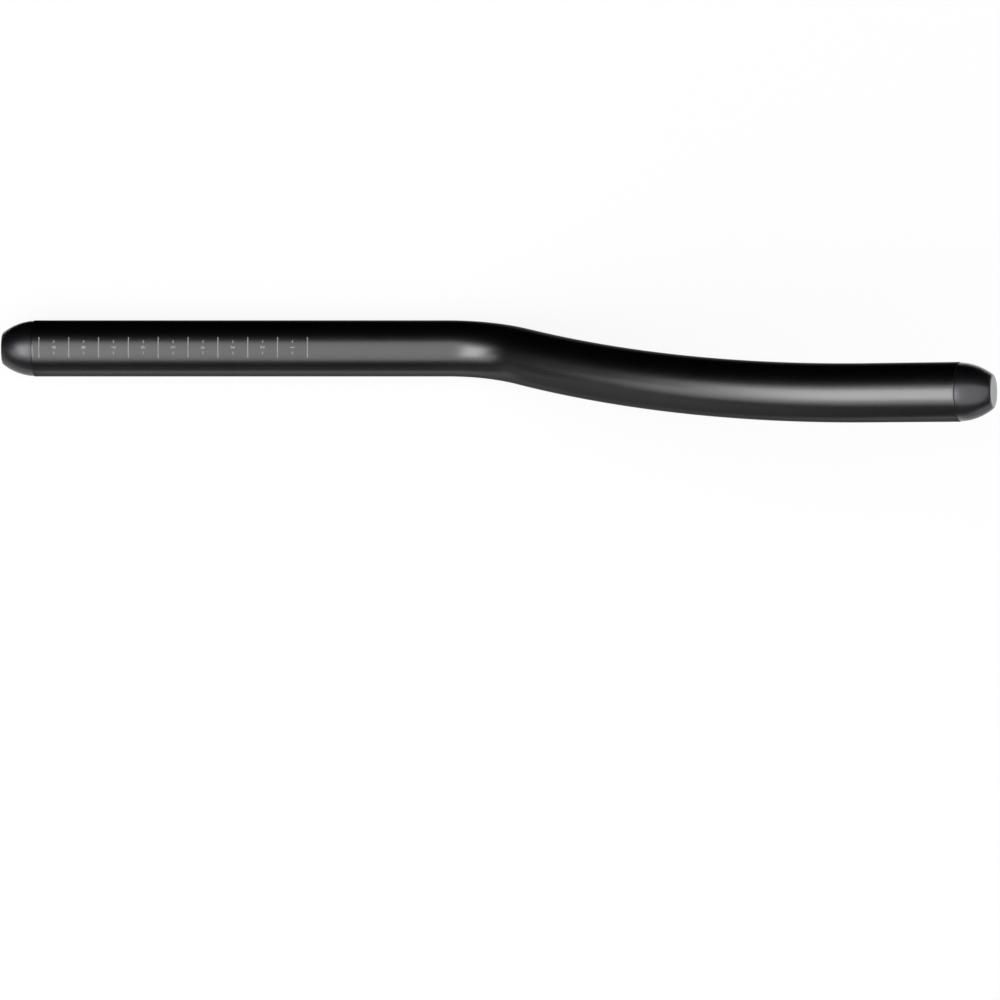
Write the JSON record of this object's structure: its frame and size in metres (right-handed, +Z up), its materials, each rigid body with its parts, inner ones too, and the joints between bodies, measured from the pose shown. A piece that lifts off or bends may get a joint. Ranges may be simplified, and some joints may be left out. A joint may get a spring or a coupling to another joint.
{
  "type": "aero handlebar extension",
  "caption": "Black S-bend aero bar extension: a straight clamping run with a printed scale, an upward kick and a gently rising grip end, with a tapered plug in each end.",
  "frame": {"origin": "middle of the straight clamping run, on the tube's axis", "axes": "+X forward along the clamping run, +Y outboard for a left-hand bar, +Z up"},
  "size_m": [0.3809, 0.042, 0.1138],
  "materials": {
    "tube_black": "fine bead-blasted, black anodised satin",
    "plug_plastic": "satin moulded black plastic"
  },
  "bodies": {
    "root": {"extension_tube": "tube_black", "rear_plug": "plug_plastic", "front_plug": "plug_plastic"}
  },
  "joints": []
}
